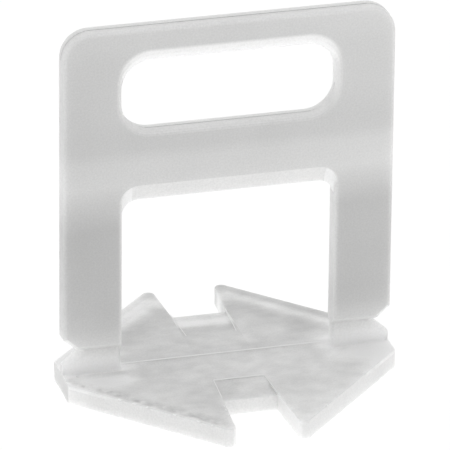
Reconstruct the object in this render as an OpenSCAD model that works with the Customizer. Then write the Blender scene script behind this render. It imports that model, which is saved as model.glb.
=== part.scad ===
// Tile levelling clip, moulded in one piece.
// An upright frame with a finger hole and a wedge window stands on two thin
// snap-off feet in the middle of a flat four-pronged base.
// X runs along the frame, Y through its thickness, Z up from the underside.

/* [Frame] */
// Overall width of the upright frame
frame_w = 40; // [34:0.5:60]
// Thickness of the frame above the feet
frame_t = 2.6; // [2.2:0.1:4]
// Overall height from the underside of the base to the top of the frame
clip_h = 45.9; // [44:0.1:70]
// Radius of the two top corners
frame_corner_r = 3.4; // [1:0.1:6]
// Rounding along the edges of the moulded frame
edge_r = 0.45; // [0.2:0.05:0.6]

/* [Finger hole] */
// Width of the finger hole
hole_w = 25.8; // [18:0.1:28]
// Height of the finger hole
hole_h = 8.7; // [7:0.1:11]
// Radius of the hole's corners
hole_corner_r = 3.5; // [1:0.1:3.5]
// Height of the bar above the hole
crown_h = 4.2; // [3:0.1:6]
// Depth of the rounded lip at each mouth of the hole
lip_depth = 0.9; // [0.3:0.05:1]
// How far the lip opens at the sides and below
lip_side = 0.7; // [0.2:0.05:1]
// How far the lip opens above, where the fingers pull
lip_top = 1.35; // [0.4:0.05:1.8]

/* [Wedge window] */
// Width of the window that takes the wedge
window_w = 25.8; // [18:0.1:28]
// Height of the window above the top of the base
window_h = 21.8; // [16:0.1:26]
// Radius of the window's upper corners
window_corner_r = 2; // [0.6:0.1:3]
// Height of the sloping lead-in along the top of the window
lead_h = 2; // [0.5:0.1:3]
// Depth of the lead-in at the edge of the window
lead_d = 0.6; // [0.2:0.05:0.9]

/* [Snap-off feet] */
// Thickness of the feet, which sets the joint between the tiles
foot_t = 1.5; // [1:0.1:2]
// Height of the full-depth foot above the top of the base
foot_h = 3.1; // [2:0.1:6]
// Height of the sloping shoulder between foot and leg
shoulder_h = 0.6; // [0.2:0.1:2]
// Depth of the notch in the outer side of each leg
notch_depth = 2; // [0.5:0.05:2.5]
// Height of the notch at its mouth
notch_h = 3.6; // [1:0.1:5]
// Height of the notch's root above the top of the base
notch_z = 2.9; // [2.6:0.1:6]

/* [Base] */
// Thickness of the base
base_t = 2.4; // [1.5:0.1:3]
// Length of the base from end to end
base_l = 40; // [34:0.1:60]
// Width of the base over the prong tips
base_w = 38.6; // [34:0.2:50]
// Width of the flat ends under the legs
end_w = 6.9; // [4:0.1:10]

/* [Prongs] */
// Radius of the prong tips
tip_r = 0.8; // [0.4:0.05:1.2]
// Gap between two prongs at the outer face of the front cross bar
gap_w = 6.7; // [5:0.1:8]
// Angle by which each side of the gap opens outwards
gap_splay = 3.2; // [0:0.1:6]
// Distance from the middle of the frame to the outer face of the front cross bar
front_bar_y = 11.1; // [10:0.1:14]
// Distance from the middle of the frame to the outer face of the back cross bar
back_bar_y = 12.5; // [10:0.1:14]
// Distance from the middle of the frame to where the floor of each recess starts to fall
recess_y = 6.2; // [5:0.1:8]
// Depth of the sloping recess at the outer face of its cross bar
recess_d = 0.4; // [0.1:0.05:0.6]

/* [Hidden] */
// Steps of a quarter circle on the large corners and on the rounded edges
corner_steps = 12;
edge_steps = 4;
// How far the feet run into the base, and how far a cut reaches past a face
sink = base_t / 2;
past = 1;
// Rounding of the feet, limited by their thickness
foot_edge_r = min(edge_r, 0.4 * foot_t);
// Heights and widths that follow from the sizes above
hole_top = clip_h - crown_h;
window_top = base_t + window_h;
foot_top = base_t + foot_h;
notch_root = base_t + notch_z;

// Points of an arc about c from angle a0 to angle a1.
function arc(c, r, a0, a1, n) =
    [for (i = [0:n]) let (a = a0 + (a1 - a0) * i / n) c + r * [cos(a), sin(a)]];

// Half the width of the gap between two prongs at the distance y.
function gap_x(y) = gap_w / 2 + (y - front_bar_y) * tan(gap_splay);

// Centre of a prong tip: it touches the side of the gap and the full width.
tip_y = base_w / 2 - tip_r;
tip_c = [gap_x(tip_y) + tip_r / cos(gap_splay), tip_y];
// The long edge runs from the corner of the flat end, tangent to the tip.
end_c = [base_l / 2, end_w / 2];
to_tip = tip_c - end_c;
edge_a = atan2(to_tip[1], to_tip[0]) - asin(tip_r / norm(to_tip));

// One quarter of the base in plan, from the flat end round the tip to a bar at the distance y.
function quarter(y) = concat(
    [end_c],
    arc(tip_c, tip_r, edge_a - 90, 180 - gap_splay, corner_steps),
    [[gap_x(y), y]]
);

// Mirrors a list of points across the middle and turns it round, so that it runs on.
function across(p) = [for (i = [len(p) - 1:-1:0]) [-p[i][0], p[i][1]]];

// One half of the base in plan, from one flat end to the other.
function half(y) = concat(quarter(y), across(quarter(y)));

module base_plan() {
    polygon(concat(half(back_bar_y), [for (p = half(front_bar_y)) -p]));
}

// Solid through a row of closed outlines that have equally many points.
module loft(rings) {
    n = len(rings[0]);
    last = len(rings) - 1;
    polyhedron(
        points = [for (ring = rings) each ring],
        faces = concat(
            [[for (i = [n - 1:-1:0]) i]],
            [for (k = [0:last - 1], i = [0:n - 1]) let (j = (i + 1) % n)
                each [[k * n + i, k * n + j, (k + 1) * n + j],
                      [k * n + i, (k + 1) * n + j, (k + 1) * n + i]]],
            [[for (i = [0:n - 1]) last * n + i]]
        )
    );
}

// Cutter for the recess on a cross bar. Its floor slopes down from the top of the base
// to the bar's outer face, and beyond the bar it narrows, clear of the prongs.
module recess(y) {
    slope = recess_d / (y - recess_y);
    loft([for (s = [[recess_y - past, 1], [y, 1], [y + past, 1 / 2]])
        let (x = gap_x(s[0]) * s[1], z0 = base_t - slope * (s[0] - recess_y), z1 = base_t + past)
        [[-x, s[0], z0], [x, s[0], z0], [x, s[0], z1], [-x, s[0], z1]]]);
}

// Flat base with its prongs, and the recess on each cross bar.
module base() {
    difference() {
        linear_extrude(base_t) base_plan();
        recess(back_bar_y);
        mirror([0, 1, 0]) recess(front_bar_y);
    }
}

// Distances inside a face at which a rounded lip of the given depth is drawn.
// The first lies just outside, so that the lip's slope runs out through the face.
function lip_steps(depth) = let (first = depth * (1 - cos(90 / edge_steps)))
    concat([-first / 2], [for (i = [1:edge_steps]) depth * (1 - cos(90 * i / edge_steps))]);

// How far the lip is open at the distance d: 1 at the face, 0 at its full depth.
function lip(d, depth) = let (first = depth * (1 - cos(90 / edge_steps)))
    d < 0 ? 1 - d / first * (1 - lip(first, depth)) :
    d < depth ? 1 - sqrt(1 - pow(1 - d / depth, 2)) : 0;

// Places through a wall of thickness t, each as its Y and its distance from the face.
function through(t, steps) = concat(
    [for (d = steps) [d - t / 2, d]],
    [for (i = [len(steps) - 1:-1:0]) [t / 2 - steps[i], steps[i]]]
);

// Outline of an upright slot at the depth y: half width x, from z0 to z1.
function slot_ring(y, x, z0, z1, r) = [for (p = concat(
    arc([x - r, z1 - r], r, 0, 90, corner_steps), arc([r - x, z1 - r], r, 90, 180, corner_steps),
    arc([r - x, z0 + r], r, 180, 270, corner_steps), arc([x - r, z0 + r], r, 270, 360, corner_steps)
)) [p[0], y, p[1]]];

// Cutter for the finger hole, whose lip opens most along the top.
module finger_hole() {
    loft([for (s = through(frame_t, lip_steps(lip_depth)))
        let (side = lip_side * lip(s[1], lip_depth), above = lip_top * lip(s[1], lip_depth))
        slot_ring(s[0], hole_w / 2 + side, hole_top - hole_h - side, hole_top + above, hole_corner_r + side)]);
}

// Cutter for the wedge window, open at the bottom. Its edges are rounded, and
// along the top a slope leads the wedge in from both faces.
module wedge_window() {
    steps = lip_steps(edge_r);
    places = through(frame_t, lead_d > edge_r ? concat(steps, [lead_d]) : steps);
    loft([for (s = places)
        let (side = edge_r * lip(s[1], edge_r), above = max(0, lead_h * (1 - s[1] / lead_d)))
        slot_ring(s[0], window_w / 2 + side, base_t - window_corner_r - past,
            window_top + above, window_corner_r + side)]);
}

// Cutter for the notch in the outer side of both legs, where the wall has the
// thickness t. Its edges, rounded by r, move the whole notch inwards at the faces.
module notches(t, r) {
    slope = notch_h / 2 / notch_depth;
    mouth = frame_w / 2 + past;
    for (side = [0, 1])
        mirror([side, 0, 0])
            loft([for (s = through(t, lip_steps(r)))
                let (root = frame_w / 2 - notch_depth - r * norm([1, slope]) / slope * lip(s[1], r)) [
                    [root, s[0], notch_root],
                    [mouth, s[0], notch_root - slope * (mouth - root)],
                    [mouth, s[0], notch_root + slope * (mouth - root)]
                ]]);
}

// Ball that rounds edges by r, with its poles and its equator at full size.
module edge_ball(r) {
    rotate([90, 0, 0])
        rotate_extrude($fn = 4 * edge_steps)
            polygon(arc([0, 0], r, -90, 90, 2 * edge_steps));
}

// Solid with edges rounded by r, through corners that are given inside by r.
module rounded_solid(corners, r) {
    hull()
        for (p = corners) translate(p) edge_ball(r);
}

// Frame without its openings: rounded top corners, rounded edges, and under the
// legs a shoulder on each side that slopes down to the thickness of the feet.
module frame_blank() {
    // Distances inside a face: the steps of the rounded edge, and the shoulder's inner end
    shoulder_d = (frame_t - foot_t) / 2;
    edge = [for (i = [0:edge_steps]) edge_r * (1 - cos(90 * i / edge_steps))];
    apart = edge_r / 50;
    steps = concat(
        [for (d = edge) if (d < shoulder_d - apart) d],
        [shoulder_d],
        [for (d = edge) if (d > shoulder_d + apart) d]
    );
    loft([for (s = through(frame_t, steps))
        let (
            in = edge_r * lip(s[1], edge_r),
            x = frame_w / 2 - in,
            r = frame_corner_r - in,
            z0 = foot_top + shoulder_h * max(0, 1 - s[1] / shoulder_d),
            crown = concat(
                arc([x - r, clip_h - in - r], r, 0, 90, corner_steps),
                arc([r - x, clip_h - in - r], r, 90, 180, corner_steps)
            )
        )
        [for (p = concat([[-x, z0], [x, z0]], crown)) [p[0], s[0], p[1]]]]);
}

// The two thin feet that snap off under the notch, run into base and legs.
module feet() {
    for (side = [1, -1])
        rounded_solid([
            for (x = [window_w / 2 + foot_edge_r, frame_w / 2 - foot_edge_r], sy = [1, -1],
                z = [sink, foot_top + shoulder_h])
                [side * x, sy * (foot_t / 2 - foot_edge_r), z]
        ], foot_edge_r);
}

// Upright frame: the blank with its openings, on its two feet.
module frame() {
    difference() {
        frame_blank();
        finger_hole();
        wedge_window();
        notches(frame_t, edge_r);
    }
    difference() {
        feet();
        notches(foot_t, foot_edge_r);
    }
}

module levelling_clip() {
    color([0.86, 0.86, 0.85]) {
        base();
        frame();
    }
}

levelling_clip();
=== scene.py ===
"""Looks of a tile levelling clip, moulded in one piece of natural polypropylene, on white."""

import logging
import math
from collections.abc import Callable, Iterator
from dataclasses import dataclass
from enum import Enum

import bmesh
import bpy
from mathutils import Matrix, Vector


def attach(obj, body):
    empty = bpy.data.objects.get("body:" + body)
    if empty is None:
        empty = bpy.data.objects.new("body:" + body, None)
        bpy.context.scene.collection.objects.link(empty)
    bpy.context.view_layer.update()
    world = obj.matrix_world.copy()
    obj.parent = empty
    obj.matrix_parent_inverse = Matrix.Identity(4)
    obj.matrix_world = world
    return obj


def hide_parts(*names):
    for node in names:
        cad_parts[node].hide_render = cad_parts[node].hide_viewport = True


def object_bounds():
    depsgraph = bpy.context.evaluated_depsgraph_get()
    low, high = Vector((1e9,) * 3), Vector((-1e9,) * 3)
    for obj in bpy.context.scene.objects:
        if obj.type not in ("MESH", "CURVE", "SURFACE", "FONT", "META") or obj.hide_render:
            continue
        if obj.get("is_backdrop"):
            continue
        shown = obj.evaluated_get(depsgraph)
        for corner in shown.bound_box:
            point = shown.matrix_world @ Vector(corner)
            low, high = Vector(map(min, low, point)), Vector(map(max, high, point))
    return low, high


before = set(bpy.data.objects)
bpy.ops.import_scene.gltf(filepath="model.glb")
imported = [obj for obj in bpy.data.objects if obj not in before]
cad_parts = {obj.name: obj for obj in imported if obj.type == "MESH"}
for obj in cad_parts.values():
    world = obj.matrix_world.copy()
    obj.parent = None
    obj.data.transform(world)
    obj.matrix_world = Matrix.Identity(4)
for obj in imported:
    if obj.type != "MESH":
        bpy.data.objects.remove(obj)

LOG = logging.getLogger("levelling_clip")
MM = 0.001
CAD_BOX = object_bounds()
CLIP_NODE = "levelling_clip"
BODY = "root"
MERGE = 0.001 * MM
QUARTER = math.pi / 2
WHITE = 1.0

Span = tuple[float, float]
Point = tuple[float, float, float]
Tones = tuple[tuple[float, float], ...]
Input = bpy.types.NodeSocket | float


class Socket(Enum):
    """Sockets of the surface shader that the finishes set."""

    COLOUR = "Base Color"
    ROUGHNESS = "Roughness"
    REFRACTION = "IOR"
    NORMAL = "Normal"
    SCATTER = "Subsurface Weight"
    SCATTER_RADIUS = "Subsurface Radius"
    SCATTER_SCALE = "Subsurface Scale"


class Sum(Enum):
    """Sums that a shader does with its values."""

    ADD = "ADD"
    SUBTRACT = "SUBTRACT"
    MULTIPLY = "MULTIPLY"
    POWER = "POWER"
    MINIMUM = "MINIMUM"
    MAXIMUM = "MAXIMUM"
    ABSOLUTE = "ABSOLUTE"
    GREATER = "GREATER_THAN"


class Corner(Enum):
    """Inner corners of the two ramps on the cross bars, each as its signs along X and Y."""

    FRONT_LEFT = (-1, -1)
    FRONT_RIGHT = (1, -1)
    BACK_RIGHT = (1, 1)
    BACK_LEFT = (-1, 1)


class ShaderTree:
    """A node tree that is filled node by node."""

    noise_detail: float = 3.0
    noise_range: Span = (0.25, 0.75)

    def __init__(self, tree: bpy.types.NodeTree) -> None:
        """Empties the tree."""
        self.tree = tree
        tree.nodes.clear()

    def add(
        self, kind: str, inputs: dict[str | int, object] | None = None, **settings: object
    ) -> bpy.types.Node:
        """Adds a node.

        Args:
            kind: Blender's name of the node's type.
            inputs: Values, or sockets to link, by the input's name or number.
            settings: Properties of the node itself.

        Returns:
            The new node.
        """
        node = self.tree.nodes.new(kind)
        for name, value in settings.items():
            setattr(node, name, value)
        for name, value in (inputs or {}).items():
            if isinstance(value, bpy.types.NodeSocket):
                self.tree.links.new(value, node.inputs[name])
            else:
                node.inputs[name].default_value = value
        return node

    def math(self, operation: Sum, first: Input, second: Input = 0.0) -> bpy.types.NodeSocket:
        """Adds a sum.

        Args:
            operation: Kind of the sum.
            first: Value or socket.
            second: Value or socket.

        Returns:
            The socket with the result.
        """
        inputs = {0: first, 1: second}
        return self.add("ShaderNodeMath", inputs, operation=operation.value).outputs[0]

    def product(self, *factors: Input) -> bpy.types.NodeSocket:
        """Multiplies values.

        Args:
            factors: Values or sockets, at least two.

        Returns:
            The socket with the product.
        """
        result = factors[0]
        for factor in factors[1:]:
            result = self.math(Sum.MULTIPLY, result, factor)
        return result

    def ramp(
        self, value: Input, low: float, high: float, start: Input, end: Input
    ) -> bpy.types.NodeSocket:
        """Maps a value from one range to another, held at both ends.

        Args:
            value: Socket that is mapped.
            low: Value that gives start.
            high: Value that gives end.
            start: Result at low, a value or a socket.
            end: Result at high, a value or a socket.

        Returns:
            The socket with the result.
        """
        inputs = {"Value": value, "From Min": low, "From Max": high, "To Min": start, "To Max": end}
        return self.add("ShaderNodeMapRange", inputs).outputs["Result"]

    def blend(self, share: Input, start: Input, end: Input) -> bpy.types.NodeSocket:
        """Goes from one value to another.

        Args:
            share: Socket from 0 to 1.
            start: Result at 0.
            end: Result at 1.

        Returns:
            The socket with the result.
        """
        return self.ramp(share, 0.0, 1.0, start, end)

    def noise(
        self, place: bpy.types.NodeSocket, size: float, middle: float, depth: float
    ) -> bpy.types.NodeSocket:
        """Adds a soft noise.

        Args:
            place: Coordinates.
            size: Size of its blots.
            middle: Value about which it swings.
            depth: How far it swings to each side.

        Returns:
            The socket with the noise.
        """
        inputs = {"Vector": place, "Scale": 1 / size, "Detail": self.noise_detail}
        noise = self.add("ShaderNodeTexNoise", inputs).outputs["Fac"]
        return self.ramp(noise, *self.noise_range, middle - depth, middle + depth)

    def curve(self, value: Input, points: Tones) -> bpy.types.NodeSocket:
        """Maps a length along straight stretches between points.

        Args:
            value: Socket with the length.
            points: Pairs of a length in millimetres and its result, in order.

        Returns:
            The socket with the result.
        """
        first, last = points[0][0], points[-1][0]
        share = self.ramp(value, first * MM, last * MM, 0.0, 1.0)
        node = self.add("ShaderNodeValToRGB", {"Fac": share})
        stops = node.color_ramp.elements
        # A new ramp has its first two stops already.
        for _ in points[2:]:
            stops.new(0.5)
        for stop, (at, result) in zip(stops, points):
            stop.position = (at - first) / (last - first)
            stop.color = (result, result, result, 1.0)
        return node.outputs["Color"]


@dataclass(frozen=True)
class FrameLightAndShade:
    """Painted light and shade by height on the upright frame, with painted glow at the finger
    hole's upper lip.
    """

    # Painted light and shade by height: lighter at the feet, darker along the legs.
    tones: Tones = (
        (2.4, 1.0), (3.4, 0.98), (4.6, 0.86), (5.5, 0.77), (6.8, 0.745), (8.3, 0.67),
        (10.3, 0.63), (14.3, 0.605), (20.7, 0.59), (26.2, 0.755), (29.3, 0.735), (30.8, 0.675),
        (32.5, 0.668), (35.0, 0.685), (42.0, 0.70), (44.0, 0.72), (46.0, 0.72),
    )
    # Painted light that grows towards +X, from the legs upwards.
    side_light_gain: float = 1.8
    side_light_from: Span = (9.0 * MM, 17.0 * MM)
    drift: float = 1.2 * MM
    drift_size: float = 12.0 * MM
    drift_span: Span = (16.0 * MM, 28.0 * MM)
    # Painted glow round the finger hole's upper lip.
    lip_glow: float = 0.25
    lip_corner: Span = (9.4 * MM, 38.85 * MM)
    lip_radius: float = 4.2 * MM
    lip_fade: float = 0.35 * MM
    lip_rise: Span = (0.3, 0.8)

    def tone(
        self, shader: ShaderTree, place: bpy.types.NodeSocket, axes: bpy.types.NodeOutputs
    ) -> bpy.types.NodeSocket:
        """Gives the painted light and shade by height, with a wavering upper bound over the legs.

        Args:
            shader: Node tree of the material.
            place: Object coordinates.
            axes: The coordinates' three sockets.

        Returns:
            The socket with the tone.
        """
        start, end = self.drift_span
        middle = (start + end) / 2
        inside = shader.product(
            shader.ramp(axes["Z"], start, middle, 0.0, 1.0),
            shader.ramp(axes["Z"], middle, end, 1.0, 0.0),
        )
        drift = shader.product(shader.noise(place, self.drift_size, 0.0, self.drift), inside)
        shade_by_height = shader.curve(shader.math(Sum.ADD, axes["Z"], drift), self.tones)
        gain = shader.ramp(axes["Z"], *self.side_light_from, 0.0, self.side_light_gain)
        aside = shader.math(Sum.ADD, shader.product(axes["X"], gain), 1.0)
        glow = shader.math(Sum.ADD, self.hole_glow(shader, axes), 1.0)
        return shader.product(shade_by_height, aside, glow)

    def hole_glow(
        self, shader: ShaderTree, axes: bpy.types.NodeOutputs
    ) -> bpy.types.NodeSocket:
        """Finds the painted glow round the upper lip of the finger hole.

        Args:
            shader: Node tree of the material.
            axes: The coordinates' three sockets.

        Returns:
            The socket with the share that is added to the tone.
        """
        x, z = self.lip_corner
        across = shader.math(Sum.ABSOLUTE, axes["X"])
        aside = shader.math(Sum.MAXIMUM, shader.math(Sum.SUBTRACT, across, x), 0.0)
        above = shader.math(Sum.MAXIMUM, shader.math(Sum.SUBTRACT, axes["Z"], z), 0.0)
        square = shader.math(Sum.ADD, shader.product(aside, aside), shader.product(above, above))
        away = shader.math(Sum.POWER, square, 0.5)
        outer = self.lip_radius + self.lip_fade
        low, high = (share * self.lip_radius for share in self.lip_rise)
        return shader.product(
            shader.ramp(away, self.lip_radius, outer, self.lip_glow, 0.0),
            shader.ramp(above, low, high, 0.0, 1.0),
        )


@dataclass(frozen=True)
class BaseLightAndShade:
    """Painted light bands along the base's edges, painted streaks at the feet, and a mottled top.
    """

    # Painted light bands inside the back edges, with darker bands beside them.
    back_tones: Tones = (
        (0.0, 0.65), (1.0, 0.66), (1.9, 0.86), (2.4, 0.875), (3.4, 0.72), (4.3, 0.655),
        (5.5, 0.68), (7.0, 0.74), (9.0, 0.75), (14.0, 0.78),
    )
    bar_tones: Tones = (
        (0.0, 0.74), (0.6, 0.80), (1.3, 0.83), (2.1, 1.0), (2.8, 1.0), (3.5, 0.86),
        (4.2, 0.70), (5.2, 0.655), (7.0, 0.71), (9.0, 0.72), (14.0, 0.78),
    )
    # Painted light along the front edges.
    front_tones: Tones = (
        (0.05, 0.93), (0.15, 1.12), (0.8, 1.08), (1.5, 1.06), (3.0, 1.04), (5.2, 0.99),
    )
    # Painted light in streaks before and behind each foot, by distance from the middle.
    left_foot_tones: Tones = (
        (0.75, 1.3), (1.05, 1.25), (1.3, 1.07), (1.7, 1.04), (2.1, 1.08), (2.6, 1.17),
        (3.2, 1.27), (3.8, 1.27), (4.6, 1.15), (5.6, 1.03), (6.5, 1.0),
    )
    right_foot_tones: Tones = (
        (0.75, 1.3), (1.1, 1.24), (2.2, 1.24), (3.8, 1.2), (4.8, 1.08), (6.0, 1.0),
    )
    foot_inner: float = 12.9 * MM
    foot_reach: float = 2.4 * MM
    end_x: float = 20.0 * MM
    end_y: float = 3.45 * MM
    edge_slope: float = 1.05
    tip_y: float = 19.3 * MM
    gap_x: float = 3.5 * MM
    back_bar: float = 12.5 * MM
    # Painted light on the back left rim and towards the flat ends.
    rim_light: float = 1.28
    rim_left: Span = (-6.0 * MM, -3.5 * MM)
    rim_span: Span = (1.3 * MM, 2.0 * MM)
    end_light: float = 1.25
    end_from: Span = (14.0 * MM, 19.5 * MM)
    top_from: Span = (1.9 * MM, 2.0 * MM)
    mottle_stretch: Point = (0.7, 1.0, 1.0)
    mottle_size: float = 1.4 * MM
    mottle_depth: float = 0.08
    blotch_size: float = 5.0 * MM
    blotch_depth: float = 0.08
    # Painted shadow behind the flash along the front left edge.
    flash_shadow_span: Point = (0.15 * MM, 0.75 * MM, 2.2 * MM)
    flash_shadow_left: Span = (-6.0 * MM, -3.0 * MM)
    flash_shadow_size: float = 1.1 * MM
    flash_shadow_middle: float = 0.6
    flash_shadow_swing: float = 0.9
    flash_shadow_depth: float = 0.28

    def tone(
        self, shader: ShaderTree, place: bpy.types.NodeSocket, axes: bpy.types.NodeOutputs
    ) -> bpy.types.NodeSocket:
        """Gives the base's tone with its painted light and shade, never above white.

        Args:
            shader: Node tree of the material.
            place: Object coordinates.
            axes: The coordinates' three sockets.

        Returns:
            The socket with the tone.
        """
        across = shader.math(Sum.ABSOLUTE, axes["X"])
        beside = shader.math(Sum.GREATER, across, self.gap_x)
        to_back, to_front = self.edge_distances(shader, axes, across, beside)
        on_bar = shader.curve(to_back, self.bar_tones)
        on_prong = shader.curve(to_back, self.back_tones)
        bands = shader.product(
            shader.blend(beside, on_bar, on_prong),
            shader.blend(beside, 1.0, shader.curve(to_front, self.front_tones)),
            self.foot_shade(shader, axes, across),
        )
        left_rim = shader.ramp(axes["X"], *self.rim_left, self.rim_light, 1.0)
        lights = shader.product(
            shader.ramp(to_back, *self.rim_span, left_rim, 1.0),
            shader.ramp(across, *self.end_from, 1.0, self.end_light),
            self.mottle_and_sheen(shader, place),
        )
        top = shader.ramp(axes["Z"], *self.top_from, 0.0, 1.0)
        lit = shader.product(bands, shader.blend(top, 1.0, lights))
        flash_shadow = self.flash_shadow(shader, place, axes, to_front)
        return shader.product(
            shader.math(Sum.MINIMUM, lit, WHITE), shader.blend(top, 1.0, flash_shadow)
        )

    def edge_distances(
        self,
        shader: ShaderTree,
        axes: bpy.types.NodeOutputs,
        across: bpy.types.NodeSocket,
        beside: bpy.types.NodeSocket,
    ) -> tuple[bpy.types.NodeSocket, bpy.types.NodeSocket]:
        """Measures how far a point lies inside the base's long edges.

        Args:
            shader: Node tree of the material.
            axes: The coordinates' three sockets.
            across: Distance from the middle along X.
            beside: 1 on the prongs and 0 on the cross bars.

        Returns:
            The distances from the back edge and from the front edge.
        """
        rise = shader.product(shader.math(Sum.SUBTRACT, self.end_x, across), self.edge_slope)
        prong = shader.math(Sum.MINIMUM, shader.math(Sum.ADD, rise, self.end_y), self.tip_y)
        lean = shader.blend(beside, 1.0, math.cos(math.atan(self.edge_slope)))
        back = shader.blend(beside, self.back_bar, prong)
        to_back = shader.product(shader.math(Sum.SUBTRACT, back, axes["Y"]), lean)
        to_front = shader.product(shader.math(Sum.ADD, prong, axes["Y"]), lean)
        return to_back, to_front

    def foot_shade(
        self, shader: ShaderTree, axes: bpy.types.NodeOutputs, across: bpy.types.NodeSocket
    ) -> bpy.types.NodeSocket:
        """Paints light streaks on the base in front of the feet and behind them.

        Args:
            shader: Node tree of the material.
            axes: The coordinates' three sockets.
            across: Distance from the middle along X.

        Returns:
            The socket with the streaks' factor.
        """
        away = shader.math(Sum.ABSOLUTE, axes["Y"])
        left = shader.curve(away, self.left_foot_tones)
        right = shader.curve(away, self.right_foot_tones)
        inner = self.foot_inner
        streaks = shader.ramp(axes["X"], -inner, inner, left, right)
        return shader.blend(
            shader.ramp(across, inner - self.foot_reach, inner, 0.0, 1.0), 1.0, streaks
        )

    def mottle_and_sheen(self, shader: ShaderTree, place: bpy.types.NodeSocket) -> bpy.types.NodeSocket:
        """Mottles the base's top, finely and coarsely, partly random tone and partly painted sheen.

        Args:
            shader: Node tree of the material.
            place: Object coordinates.

        Returns:
            The socket with the factor of the mottle and the painted sheen.
        """
        inputs = {"Vector": place, "Scale": self.mottle_stretch}
        stretched = shader.add("ShaderNodeMapping", inputs).outputs[0]
        return shader.product(
            shader.noise(stretched, self.mottle_size, 1.0, self.mottle_depth),
            shader.noise(stretched, self.blotch_size, 1.0, self.blotch_depth),
        )

    def flash_shadow(
        self,
        shader: ShaderTree,
        place: bpy.types.NodeSocket,
        axes: bpy.types.NodeOutputs,
        inwards: bpy.types.NodeSocket,
    ) -> bpy.types.NodeSocket:
        """Paints a ragged shadow behind the flash along the front left edge.

        Args:
            shader: Node tree of the material.
            place: Object coordinates.
            axes: The coordinates' three sockets.
            inwards: Distance from the front edge.

        Returns:
            The socket with the painted shadow's factor.
        """
        start, middle, end = self.flash_shadow_span
        depth = shader.product(
            shader.ramp(inwards, start, middle, 0.0, self.flash_shadow_depth),
            shader.ramp(inwards, middle, end, 1.0, 0.0),
            shader.ramp(axes["X"], *self.flash_shadow_left, 1.0, 0.0),
            shader.noise(place, self.flash_shadow_size, self.flash_shadow_middle, self.flash_shadow_swing),
        )
        return shader.math(Sum.SUBTRACT, 1.0, depth)


@dataclass(frozen=True)
class NaturalPolypropylene:
    """Milky moulded polypropylene. Light goes in, scatters and comes out at the thin edges."""

    # Its colour also carries painted light and shade.
    name: str = "natural_polypropylene"
    tint: Point = (1.0, 1.0, 0.995)
    frame_light_and_shade: FrameLightAndShade = FrameLightAndShade()
    base_light_and_shade: BaseLightAndShade = BaseLightAndShade()
    base_to_frame: Span = (2.45 * MM, 2.5 * MM)
    painted_light_layer: str = "edge"
    painted_light_tone: float = 0.95
    shade_tone: float = 0.7
    scatter_share: float = 1.0
    scatter_colour: Point = (1.0, 1.0, 1.0)
    scatter_radius: float = 1.2 * MM
    refraction: float = 1.49
    roughness: float = 0.42
    gloss_size: float = 1.4 * MM
    gloss_depth: float = 0.1
    cloud_size: float = 7.0 * MM
    cloud_depth: float = 0.02
    speck_size: float = 0.22 * MM
    speck_depth: float = 0.06
    grain_size: float = 0.35 * MM
    grain_detail: float = 2.0
    grain_height: float = 0.006 * MM

    def build(self) -> bpy.types.Material:
        """Makes the material.

        Returns:
            The node-based material.
        """
        material = bpy.data.materials.new(self.name)
        material.use_nodes = True
        shader = ShaderTree(material.node_tree)
        place = shader.add("ShaderNodeTexCoord").outputs["Object"]
        gloss = shader.noise(place, self.gloss_size, self.roughness, self.gloss_depth)
        surface = shader.add(
            "ShaderNodeBsdfPrincipled",
            {
                Socket.COLOUR.value: self.colour(shader, place),
                Socket.ROUGHNESS.value: gloss,
                Socket.REFRACTION.value: self.refraction,
                Socket.NORMAL.value: self.grain(shader, place),
                Socket.SCATTER.value: self.scatter_share,
                Socket.SCATTER_RADIUS.value: self.scatter_colour,
                Socket.SCATTER_SCALE.value: self.scatter_radius,
            },
        )
        shader.add("ShaderNodeOutputMaterial", {"Surface": surface.outputs["BSDF"]})
        return material

    def colour(self, shader: ShaderTree, place: bpy.types.NodeSocket) -> bpy.types.NodeSocket:
        """Colours frame and base each with their own painted light and shade, lighter where faces
        get painted light.

        Args:
            shader: Node tree of the material.
            place: Object coordinates.

        Returns:
            The socket with the colour.
        """
        axes = shader.add("ShaderNodeSeparateXYZ", {"Vector": place}).outputs
        base_tone = self.base_light_and_shade.tone(shader, place, axes)
        frame_tone = self.frame_light_and_shade.tone(shader, place, axes)
        plain = shader.ramp(axes["Z"], *self.base_to_frame, base_tone, frame_tone)
        # Painted light and shade by facing, read from the face attribute.
        edge = shader.add("ShaderNodeAttribute", attribute_name=self.painted_light_layer).outputs["Fac"]
        lit = shader.blend(edge, plain, self.painted_light_tone)
        tone = shader.product(
            shader.ramp(edge, -1.0, 0.0, self.shade_tone, lit),
            shader.noise(place, self.cloud_size, 1.0, self.cloud_depth),
            shader.noise(place, self.speck_size, 1.0, self.speck_depth),
        )
        inputs = {0: self.tint, "Scale": tone}
        return shader.add("ShaderNodeVectorMath", inputs, operation="SCALE").outputs["Vector"]

    def grain(self, shader: ShaderTree, place: bpy.types.NodeSocket) -> bpy.types.NodeSocket:
        """Gives the surface the fine grain of the mould.

        Args:
            shader: Node tree of the material.
            place: Object coordinates.

        Returns:
            The socket with the bumped normal.
        """
        inputs = {"Vector": place, "Scale": 1 / self.grain_size, "Detail": self.grain_detail}
        grain = shader.add("ShaderNodeTexNoise", inputs).outputs["Fac"]
        inputs = {"Height": grain, "Distance": self.grain_height}
        return shader.add("ShaderNodeBump", inputs).outputs["Normal"]


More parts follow.
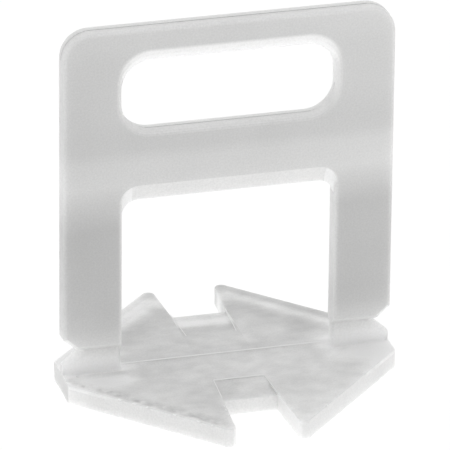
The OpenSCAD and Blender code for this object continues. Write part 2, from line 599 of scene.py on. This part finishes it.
@dataclass(frozen=True)
class MouldMark:
    """The same plastic at a mould line or shred, in a painted highlight or shade that comes and
    goes.
    """

    name: str
    tone: float
    fade: float = 0.08
    fade_size: float = 1.5 * MM
    roughness: float = 0.5
    refraction: float = 1.49

    def build(self) -> bpy.types.Material:
        """Makes the material.

        Returns:
            The node-based material.
        """
        material = bpy.data.materials.new(self.name)
        material.use_nodes = True
        shader = ShaderTree(material.node_tree)
        place = shader.add("ShaderNodeTexCoord").outputs["Object"]
        tone = shader.noise(place, self.fade_size, self.tone, self.fade)
        grey = shader.add("ShaderNodeCombineColor", {0: tone, 1: tone, 2: tone}).outputs[0]
        surface = shader.add(
            "ShaderNodeBsdfPrincipled",
            {
                Socket.COLOUR.value: grey,
                Socket.ROUGHNESS.value: self.roughness,
                Socket.REFRACTION.value: self.refraction,
            },
        )
        shader.add("ShaderNodeOutputMaterial", {"Surface": surface.outputs["BSDF"]})
        return material


def deselect_all() -> None:
    """Leaves edit mode and deselects every object."""
    if bpy.context.object and bpy.context.object.mode != "OBJECT":
        bpy.ops.object.mode_set(mode="OBJECT")
    bpy.ops.object.select_all(action="DESELECT")


def activate(piece: bpy.types.Object) -> None:
    """Makes a piece the only one that is selected.

    Args:
        piece: Object that the next operators act on.
    """
    deselect_all()
    piece.select_set(True)
    bpy.context.view_layer.objects.active = piece


def select_edges(piece: bpy.types.Object, wanted: Callable[[bmesh.types.BMEdge], bool]) -> int:
    """Selects edges of a piece in edit mode.

    Args:
        piece: Mesh object that is in edit mode.
        wanted: Says of an edge whether it is selected.

    Returns:
        How many edges are selected.
    """
    bpy.ops.mesh.select_all(action="DESELECT")
    bpy.ops.mesh.select_mode(type="EDGE")
    mesh = bmesh.from_edit_mesh(piece.data)
    chosen = [edge for edge in mesh.edges if wanted(edge)]
    for edge in chosen:
        edge.select_set(True)
    bmesh.update_edit_mesh(piece.data)
    return len(chosen)


def select_faces(piece: bpy.types.Object, wanted: Callable[[bmesh.types.BMFace], bool]) -> None:
    """Selects faces of a piece in edit mode.

    Args:
        piece: Mesh object that is in edit mode.
        wanted: Says of a face whether it is selected.
    """
    bpy.ops.mesh.select_all(action="DESELECT")
    bpy.ops.mesh.select_mode(type="FACE")
    mesh = bmesh.from_edit_mesh(piece.data)
    for face in mesh.faces:
        if wanted(face):
            face.select_set(True)
    bmesh.update_edit_mesh(piece.data)


@dataclass
class ClipBody:
    """The moulded clip itself, as the solid is, with the soft edges of a moulding."""

    node: str = CLIP_NODE
    name: str = "clip_body"
    flat_angle: float = math.radians(0.3)
    edge_angle: float = math.radians(50)
    smooth_angle: float = math.radians(40)
    base_top: float = 2.45 * MM
    top_depth: float = 0.16 * MM
    level: float = 0.99
    rim: float = 0.16 * MM
    rim_steps: int = 2
    flat_end: float = 19.98 * MM
    fillet: float = 0.3 * MM
    fillet_steps: int = 3
    fillet_start: float = 12.0 * MM
    fillet_end: float = 19.55 * MM
    fillet_slack: float = 0.04 * MM
    # Shares of painted light and shade by facing: lighter sides, walls, tops and downward lips,
    # shaded flat ends.
    side_slope: float = 0.5
    front_lean: float = 0.03
    front_share: float = 0.4
    back_share: float = 0.1
    flat_share: float = -1.0
    outer_wall: float = 19.4 * MM
    wall_share: float = 0.45
    upper: float = 30.0 * MM
    upper_share: float = 4.0
    crown_share: float = 0.6
    lip_share: float = 1.7
    notch_share: float = 4.0
    shoulder_top: float = 7.0 * MM
    shoulder_lean: float = 0.1
    shoulder_share: float = 0.32

    def build(self, finish: NaturalPolypropylene) -> bpy.types.Object:
        """Models and dresses the body.

        Args:
            finish: Finish of the moulding.

        Returns:
            The piece that stands for the solid.
        """
        piece = self.copy_of_solid()
        self.soften_base(piece)
        self.fillet_feet(piece)
        self.smooth(piece)
        self.mark_painted_light(piece, finish.painted_light_layer)
        piece.data.materials.clear()
        piece.data.materials.append(finish.build())
        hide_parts(self.node)
        return piece

    def copy_of_solid(self) -> bpy.types.Object:
        """Copies the solid's mesh, joins its loose triangles and clears flat faces of inner edges.

        The base's top is parted along the frame first, so that no face is left with holes in it,
        and at the outer ends of the feet, so that their fillets keep their width.

        Returns:
            The new mesh object.
        """
        piece = bpy.data.objects.new(self.name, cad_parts[self.node].data.copy())
        bpy.context.scene.collection.objects.link(piece)
        activate(piece)
        bpy.ops.object.mode_set(mode="EDIT")
        bpy.ops.mesh.select_all(action="SELECT")
        bpy.ops.mesh.remove_doubles(threshold=MERGE)
        self.part_top(piece, (0, 0, 0), (0, 1, 0))
        self.part_top(piece, (self.fillet_end, 0, 0), (1, 0, 0))
        self.part_top(piece, (-self.fillet_end, 0, 0), (1, 0, 0))
        bpy.ops.mesh.select_all(action="SELECT")
        bpy.ops.mesh.dissolve_limited(angle_limit=self.flat_angle, delimit={"SEAM"})
        bpy.ops.object.mode_set(mode="OBJECT")
        return piece

    def part_top(self, piece: bpy.types.Object, place: Point, way: Point) -> None:
        """Parts the base's top along a plane and keeps the cut as a seam.

        Args:
            piece: The body, in edit mode.
            place: Point of the plane.
            way: Direction across the plane.
        """
        select_faces(piece, self.is_base_top)
        bpy.ops.mesh.bisect(plane_co=place, plane_no=way, threshold=MERGE)
        bpy.ops.mesh.mark_seam(clear=False)

    def is_base_top(self, face: bmesh.types.BMFace) -> bool:
        """Says whether a face lies in the base's top."""
        return face.normal.z > self.level and face.calc_center_median().z < self.base_top

    def soften_base(self, piece: bpy.types.Object) -> None:
        """Rounds the sharp edges of the base.

        Args:
            piece: The body.
        """
        activate(piece)
        bpy.ops.object.mode_set(mode="EDIT")
        count = select_edges(piece, self.is_base_edge)
        bpy.ops.mesh.bevel(
            offset=self.rim, segments=self.rim_steps, affect="EDGES", clamp_overlap=True
        )
        bpy.ops.object.mode_set(mode="OBJECT")
        LOG.info("softened %d edges of the base", count)

    def is_base_edge(self, edge: bmesh.types.BMEdge) -> bool:
        """Says whether an edge is a sharp outer one of the base, but not at its flat ends.

        Args:
            edge: Edge of the body.

        Returns:
            Whether it is rounded.
        """
        low = all(vert.co.z < self.base_top for vert in edge.verts)
        end = all(abs(vert.co.x) > self.flat_end for vert in edge.verts)
        if not low or end or not edge.is_manifold:
            return False
        return edge.calc_face_angle_signed() > self.edge_angle

    def fillet_feet(self, piece: bpy.types.Object) -> None:
        """Fills the corner in which the feet stand on the base.

        Args:
            piece: The body.
        """
        activate(piece)
        bpy.ops.object.mode_set(mode="EDIT")
        count = select_edges(piece, self.is_foot_corner)
        bpy.ops.mesh.bevel(
            offset=self.fillet, segments=self.fillet_steps, affect="EDGES", clamp_overlap=False
        )
        bpy.ops.object.mode_set(mode="OBJECT")
        LOG.info("filled %d edges at the feet", count)

    def is_foot_corner(self, edge: bmesh.types.BMEdge) -> bool:
        """Says whether a foot meets the base's top along an edge.

        Args:
            edge: Edge of the body.

        Returns:
            Whether it is filled.
        """
        near = all(
            self.fillet_start < abs(vert.co.x) < self.fillet_end + self.fillet_slack
            and 0 < self.base_top - vert.co.z < self.top_depth
            for vert in edge.verts
        )
        return near and edge.is_manifold and edge.calc_face_angle_signed() < -self.edge_angle

    def smooth(self, piece: bpy.types.Object) -> None:
        """Shades round stretches smoothly and keeps flat faces flat.

        Args:
            piece: The body.
        """
        activate(piece)
        bpy.ops.object.shade_smooth_by_angle(angle=self.smooth_angle)
        modifier = piece.modifiers.new("flat_faces", "WEIGHTED_NORMAL")
        modifier.keep_sharp = True
        bpy.ops.object.modifier_apply(modifier=modifier.name)

    def mark_painted_light(self, piece: bpy.types.Object, layer: str) -> None:
        """Marks how much painted light or shade each face gets by its facing.

        Args:
            piece: The body.
            layer: Name of the face attribute.
        """
        attribute = piece.data.attributes.new(layer, "FLOAT", "FACE")
        for face in piece.data.polygons:
            low = face.center.z < self.base_top
            share = self.base_share(face) if low else self.frame_share(face)
            attribute.data[face.index].value = share

    def base_share(self, face: bpy.types.MeshPolygon) -> float:
        """Finds how much painted light or shade a face of the base gets.

        Args:
            face: Face of the body.

        Returns:
            The share from -1, in shade, over 0, plain, to 1, as light as the thinnest edge.
        """
        if abs(face.center.x) > self.flat_end:
            return self.flat_share
        if abs(face.normal.z) >= self.side_slope:
            return 0.0
        return self.front_share if face.normal.y < -self.front_lean else self.back_share

    def frame_share(self, face: bpy.types.MeshPolygon) -> float:
        """Finds how much painted light a face of the frame gets, most where it looks down.

        Args:
            face: Face of the body.

        Returns:
            The share from 0, plain, to 1, as light as the thinnest edge.
        """
        across, up = abs(face.normal.x), face.normal.z
        upper = face.center.z > self.upper
        wall = self.wall_share * across * (abs(face.center.x) < self.outer_wall)
        if up >= 0.0:
            return max(wall, self.crown_share * up * upper)
        if upper:
            lip = self.upper_share * (1.0 - across**2)
        elif across >= self.shoulder_lean:
            lip = self.notch_share
        elif face.center.z < self.shoulder_top:
            lip = self.shoulder_share
        else:
            lip = self.lip_share
        return max(wall * upper, min(1.0, -up * lip))


@dataclass(frozen=True)
class Run:
    """One stretch of a mould line: straight ahead, or a bend about a centre in X and Z."""

    length: float = 0.0
    centre: Span = (0.0, 0.0)
    bend: float = 0.0
    steps: int = 8


@dataclass
class MouldLine:
    """A low ridge where two faces of the mould met, swept through its stretches."""

    name: str
    start: Point
    runs: tuple[Run, ...]
    dip: float = 0.0
    turn: float = 0.0
    width: float = 0.13 * MM
    height: float = 0.03 * MM
    sides: int = 4

    def build(self, finish: MouldMark) -> bpy.types.Object:
        """Models and dresses the line.

        Args:
            finish: Finish of the line.

        Returns:
            The finished piece.
        """
        deselect_all()
        bpy.ops.mesh.primitive_circle_add(
            vertices=self.sides, radius=1.0, fill_type="NGON", location=self.start,
            rotation=(0.0, QUARTER + self.dip, self.turn),
        )
        piece = bpy.context.object
        piece.name = self.name
        piece.scale = (self.height, self.width / 2, 1.0)
        bpy.ops.object.transform_apply(location=True, rotation=True, scale=True)
        bpy.ops.object.mode_set(mode="EDIT")
        bpy.ops.mesh.select_all(action="SELECT")
        for run in self.runs:
            self.sweep(run)
        bpy.ops.mesh.select_all(action="SELECT")
        bpy.ops.mesh.remove_doubles(threshold=MERGE)
        bpy.ops.mesh.normals_make_consistent(inside=False)
        bpy.ops.object.mode_set(mode="OBJECT")
        piece.data.materials.append(finish.build())
        return piece

    def sweep(self, run: Run) -> None:
        """Sweeps the line's end through one stretch.

        Args:
            run: The stretch.
        """
        if run.bend:
            x, z = run.centre
            bpy.ops.mesh.spin(
                steps=run.steps, angle=run.bend, axis=(0, 1, 0), center=(x, self.start[1], z)
            )
            return
        ahead = Vector((math.cos(self.turn), math.sin(self.turn), 0.0))
        bpy.ops.mesh.extrude_region_move(TRANSFORM_OT_translate={"value": ahead * run.length})


@dataclass
class MouldLines:
    """All the lines that the mould left: two on the frame in painted shade, on the base in painted
    highlight.
    """

    base_top: float = 2.4 * MM
    base_half: float = 12.85 * MM
    base_y: float = 0.85 * MM
    flat_width: float = 0.3 * MM
    flat_height: float = 0.02 * MM
    ramp_half: float = 3.08 * MM
    ramp_y: float = 6.2 * MM
    ramp_splay: float = math.radians(3.2)
    front_rim: float = 4.8 * MM
    back_rim: float = 6.2 * MM
    crown_half: float = 20.0 * MM
    crown_z: float = 42.5 * MM
    hole_half: float = 12.9 * MM
    hole_y: float = -0.2 * MM
    hole_z: float = 36.4 * MM
    corner: float = 3.4 * MM

    def build(self, light: MouldMark, dark: MouldMark) -> Iterator[bpy.types.Object]:
        """Models and dresses the lines.

        Args:
            light: Finish of the lines on the base, a painted highlight.
            dark: Finish of the lines on the frame, a painted shade.

        Yields:
            The finished pieces.
        """
        yield self.flat("base_parting_line", self.base_half, self.base_y).build(light)
        yield self.flat("front_rim", self.ramp_half, -self.ramp_y).build(light)
        for corner in Corner:
            yield self.rim(corner).build(light)
        crown = (self.crown_half, 0.0, self.crown_z)
        yield self.arch("crown_parting_line", crown, -QUARTER).build(dark)
        hole = (self.hole_half, self.hole_y, self.hole_z)
        yield self.arch("finger_hole_parting_line", hole, QUARTER).build(dark)

    def flat(self, name: str, half: float, y: float) -> MouldLine:
        """Lays out a wide line along X on the base's top.

        Args:
            name: Name of the piece.
            half: Half its length.
            y: Its place.

        Returns:
            The line.
        """
        return MouldLine(
            name, (-half, y, self.base_top), (Run(length=2 * half),),
            width=self.flat_width, height=self.flat_height,
        )

    def rim(self, corner: Corner) -> MouldLine:
        """Lays out the rim that runs outwards from a ramp's inner corner.

        Args:
            corner: The corner.

        Returns:
            The line.
        """
        side, way = corner.value
        return MouldLine(
            f"{corner.name.lower()}_rim",
            (side * self.ramp_half, way * self.ramp_y, self.base_top),
            (Run(length=self.front_rim if way < 0 else self.back_rim),),
            turn=way * QUARTER - side * way * self.ramp_splay,
        )

    def arch(self, name: str, end: Point, bend: float) -> MouldLine:
        """Lays out a line along X with a quarter bend at each end.

        Args:
            name: Name of the piece.
            end: Its right end.
            bend: Angle of its bends, up from the ends if negative and down if positive.

        Returns:
            The line.
        """
        half, y, z = end
        centre = half - self.corner
        return MouldLine(
            name, (-half, y, z),
            (
                Run(centre=(-centre, z), bend=bend),
                Run(length=2 * centre),
                Run(centre=(centre, z), bend=bend),
            ),
            dip=bend,
        )


@dataclass
class EdgeFlash:
    """Thin shreds of plastic that stand along the edges of the base.

    Each shred has its place along X and Y and its length in millimetres, and its direction in
    degrees.
    """

    name: str = "edge_flash"
    shreds: tuple[tuple[float, float, float, float], ...] = (
        (-15.06, -8.52, 0.5, -46),
        (-13.66, -9.99, 0.7, -44),
        (-12.47, -11.24, 0.35, -50),
        (-9.88, -13.96, 0.45, -42),
        (-7.59, -16.36, 0.5, -47),
        (-6.30, -17.71, 0.35, -40),
        (-3.73, -13.25, 0.4, 84),
        (-3.78, -14.27, 0.55, 90),
        (-3.89, -15.59, 0.35, 97),
        (8.01, -15.92, 0.3, 44),
        (-18.33, -1.44, 0.5, 4),
    )
    level: float = 2.4 * MM
    width: float = 0.2 * MM
    height: float = 0.12 * MM
    rough: float = 0.05 * MM
    detail: int = 2

    def build(self, finish: MouldMark) -> bpy.types.Object:
        """Models the shreds, joins them and dresses them.

        Args:
            finish: Finish of the shreds.

        Returns:
            The finished piece.
        """
        pieces = [self.shred(seed, *values) for seed, values in enumerate(self.shreds, 1)]
        deselect_all()
        for piece in pieces:
            piece.select_set(True)
        bpy.context.view_layer.objects.active = pieces[0]
        bpy.ops.object.join()
        pieces[0].name = self.name
        pieces[0].data.materials.append(finish.build())
        return pieces[0]

    def shred(self, seed: int, x: float, y: float, length: float, turn: float) -> bpy.types.Object:
        """Models one ragged shred.

        Args:
            seed: Number that its rags follow from.
            x: Its place in millimetres.
            y: Its place in millimetres.
            length: Its length in millimetres.
            turn: Its direction in degrees.

        Returns:
            The shred.
        """
        deselect_all()
        bpy.ops.mesh.primitive_ico_sphere_add(
            subdivisions=self.detail, radius=1.0, location=(x * MM, y * MM, self.level),
            rotation=(0.0, 0.0, math.radians(turn)),
        )
        piece = bpy.context.object
        piece.scale = (length / 2 * MM, self.width / 2, self.height)
        bpy.ops.object.transform_apply(location=True, rotation=True, scale=True)
        bpy.ops.object.mode_set(mode="EDIT")
        bpy.ops.mesh.select_all(action="SELECT")
        bpy.ops.transform.vertex_random(offset=self.rough, seed=seed)
        bpy.ops.object.mode_set(mode="OBJECT")
        return piece


@dataclass
class Studio:
    """White ground, soft light from all round and the camera."""

    azimuth: float = math.radians(-15.49)
    elevation: float = math.radians(24.587)
    roll: float = math.radians(0.562)
    lens: float = 542.28
    sensor: float = 36.0
    distance: float = 795.4 * MM
    clip: Span = (0.01, 10.0)
    target: Point = (0.0, 0.0, 22.0 * MM)
    aim_right: float = -0.167 * MM
    aim_up: float = -2.393 * MM
    ground: float = 1.5
    ground_gap: float = 0.02 * MM
    ground_colour: tuple[float, float, float, float] = (0.95, 0.95, 0.95, 1.0)
    white_share: float = 0.9
    table_glow: float = 0.52
    sky: float = 0.82
    sky_slope: Point = (0.0, 0.20, 0.20)

    def build(self) -> None:
        """Sets up the whole studio."""
        bpy.context.scene.view_settings.view_transform = "Standard"
        self.make_ground()
        self.make_sky()
        self.make_camera()

    def shows_white(self, shader: ShaderTree) -> bpy.types.NodeSocket:
        """Finds the rays that see the ground and the sky as plain white.

        Args:
            shader: Node tree that asks.

        Returns:
            A socket that is 1 for camera, glossy and transmitted rays, and 0 otherwise.
        """
        path = shader.add("ShaderNodeLightPath").outputs
        seen = shader.math(Sum.MAXIMUM, path["Is Camera Ray"], path["Is Glossy Ray"])
        return shader.math(Sum.MAXIMUM, seen, path["Is Transmission Ray"])

    def make_ground(self) -> None:
        """Makes the white ground."""
        deselect_all()
        bpy.ops.mesh.primitive_plane_add(size=2 * self.ground, location=(0, 0, -self.ground_gap))
        plane = bpy.context.object
        plane.name = "ground"
        material = bpy.data.materials.new("white_ground")
        material.use_nodes = True
        shader = ShaderTree(material.node_tree)
        matt = shader.add("ShaderNodeBsdfDiffuse", {"Color": self.ground_colour}).outputs[0]
        glow = shader.add("ShaderNodeEmission", {"Strength": self.table_glow}).outputs[0]
        table = shader.add("ShaderNodeAddShader", {0: matt, 1: glow}).outputs[0]
        white = shader.add("ShaderNodeEmission", {"Strength": WHITE}).outputs[0]
        share = shader.product(self.shows_white(shader), self.white_share)
        mixed = shader.add("ShaderNodeMixShader", {0: share, 1: table, 2: white}).outputs[0]
        shader.add("ShaderNodeOutputMaterial", {"Surface": mixed})
        plane.data.materials.append(material)
        plane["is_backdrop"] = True

    def make_sky(self) -> None:
        """Makes the soft light from all round, which the camera sees as white."""
        world = bpy.data.worlds.new("white_studio")
        world.use_nodes = True
        bpy.context.scene.world = world
        shader = ShaderTree(world.node_tree)
        way = shader.add("ShaderNodeTexCoord").outputs["Generated"]
        inputs = {0: way, 1: self.sky_slope}
        tilt = shader.add("ShaderNodeVectorMath", inputs, operation="DOT_PRODUCT").outputs["Value"]
        light = shader.math(Sum.ADD, tilt, self.sky)
        strength = shader.math(Sum.MAXIMUM, light, self.shows_white(shader))
        background = shader.add("ShaderNodeBackground", {"Strength": strength})
        shader.add("ShaderNodeOutputWorld", {"Surface": background.outputs[0]})

    def make_camera(self) -> None:
        """Places the camera at the photograph's viewing angle."""
        level = math.cos(self.elevation)
        back = Vector((
            math.sin(self.azimuth) * level,
            -math.cos(self.azimuth) * level,
            math.sin(self.elevation),
        ))
        right = Vector((math.cos(self.azimuth), math.sin(self.azimuth), 0))
        right = Matrix.Rotation(self.roll, 3, back) @ right
        up = back.cross(right)
        data = bpy.data.cameras.new("photo_camera")
        data.lens = self.lens
        data.sensor_width = self.sensor
        data.clip_start, data.clip_end = self.clip
        camera = bpy.data.objects.new("photo_camera", data)
        camera.matrix_world = Matrix((right, up, back)).transposed().to_4x4()
        aim = right * self.aim_right + up * self.aim_up
        camera.location = Vector(self.target) + back * self.distance + aim
        bpy.context.scene.collection.objects.link(camera)
        bpy.context.scene.camera = camera


def ride(piece: bpy.types.Object) -> None:
    """Ties a finished piece to the clip and reports it.

    Args:
        piece: The piece.
    """
    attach(piece, BODY)
    LOG.info("%s: %d faces", piece.name, len(piece.data.polygons))


def write_sizes() -> None:
    """Finds the box of the solid and the box of the dressed part, and keeps neither.
    """
    boxes = {"cad": CAD_BOX, "visual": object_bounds()}
    {name: [list(corner) for corner in box] for name, box in boxes.items()}


def main() -> None:
    """Builds the studio and the clip."""
    logging.basicConfig(level=logging.INFO, format="%(name)s: %(message)s")
    # The light mark paints a highlight on the base's ridges and flash, the dark one paints shade on
    # the frame's.
    light = MouldMark("painted_highlight_mould_mark", tone=0.97, fade=0.03)
    dark = MouldMark("painted_shade_mould_mark", tone=0.57)
    Studio().build()
    ride(ClipBody().build(NaturalPolypropylene()))
    for line in MouldLines().build(light, dark):
        ride(line)
    ride(EdgeFlash().build(light))
    write_sizes()


if __name__ == "__main__":
    main()
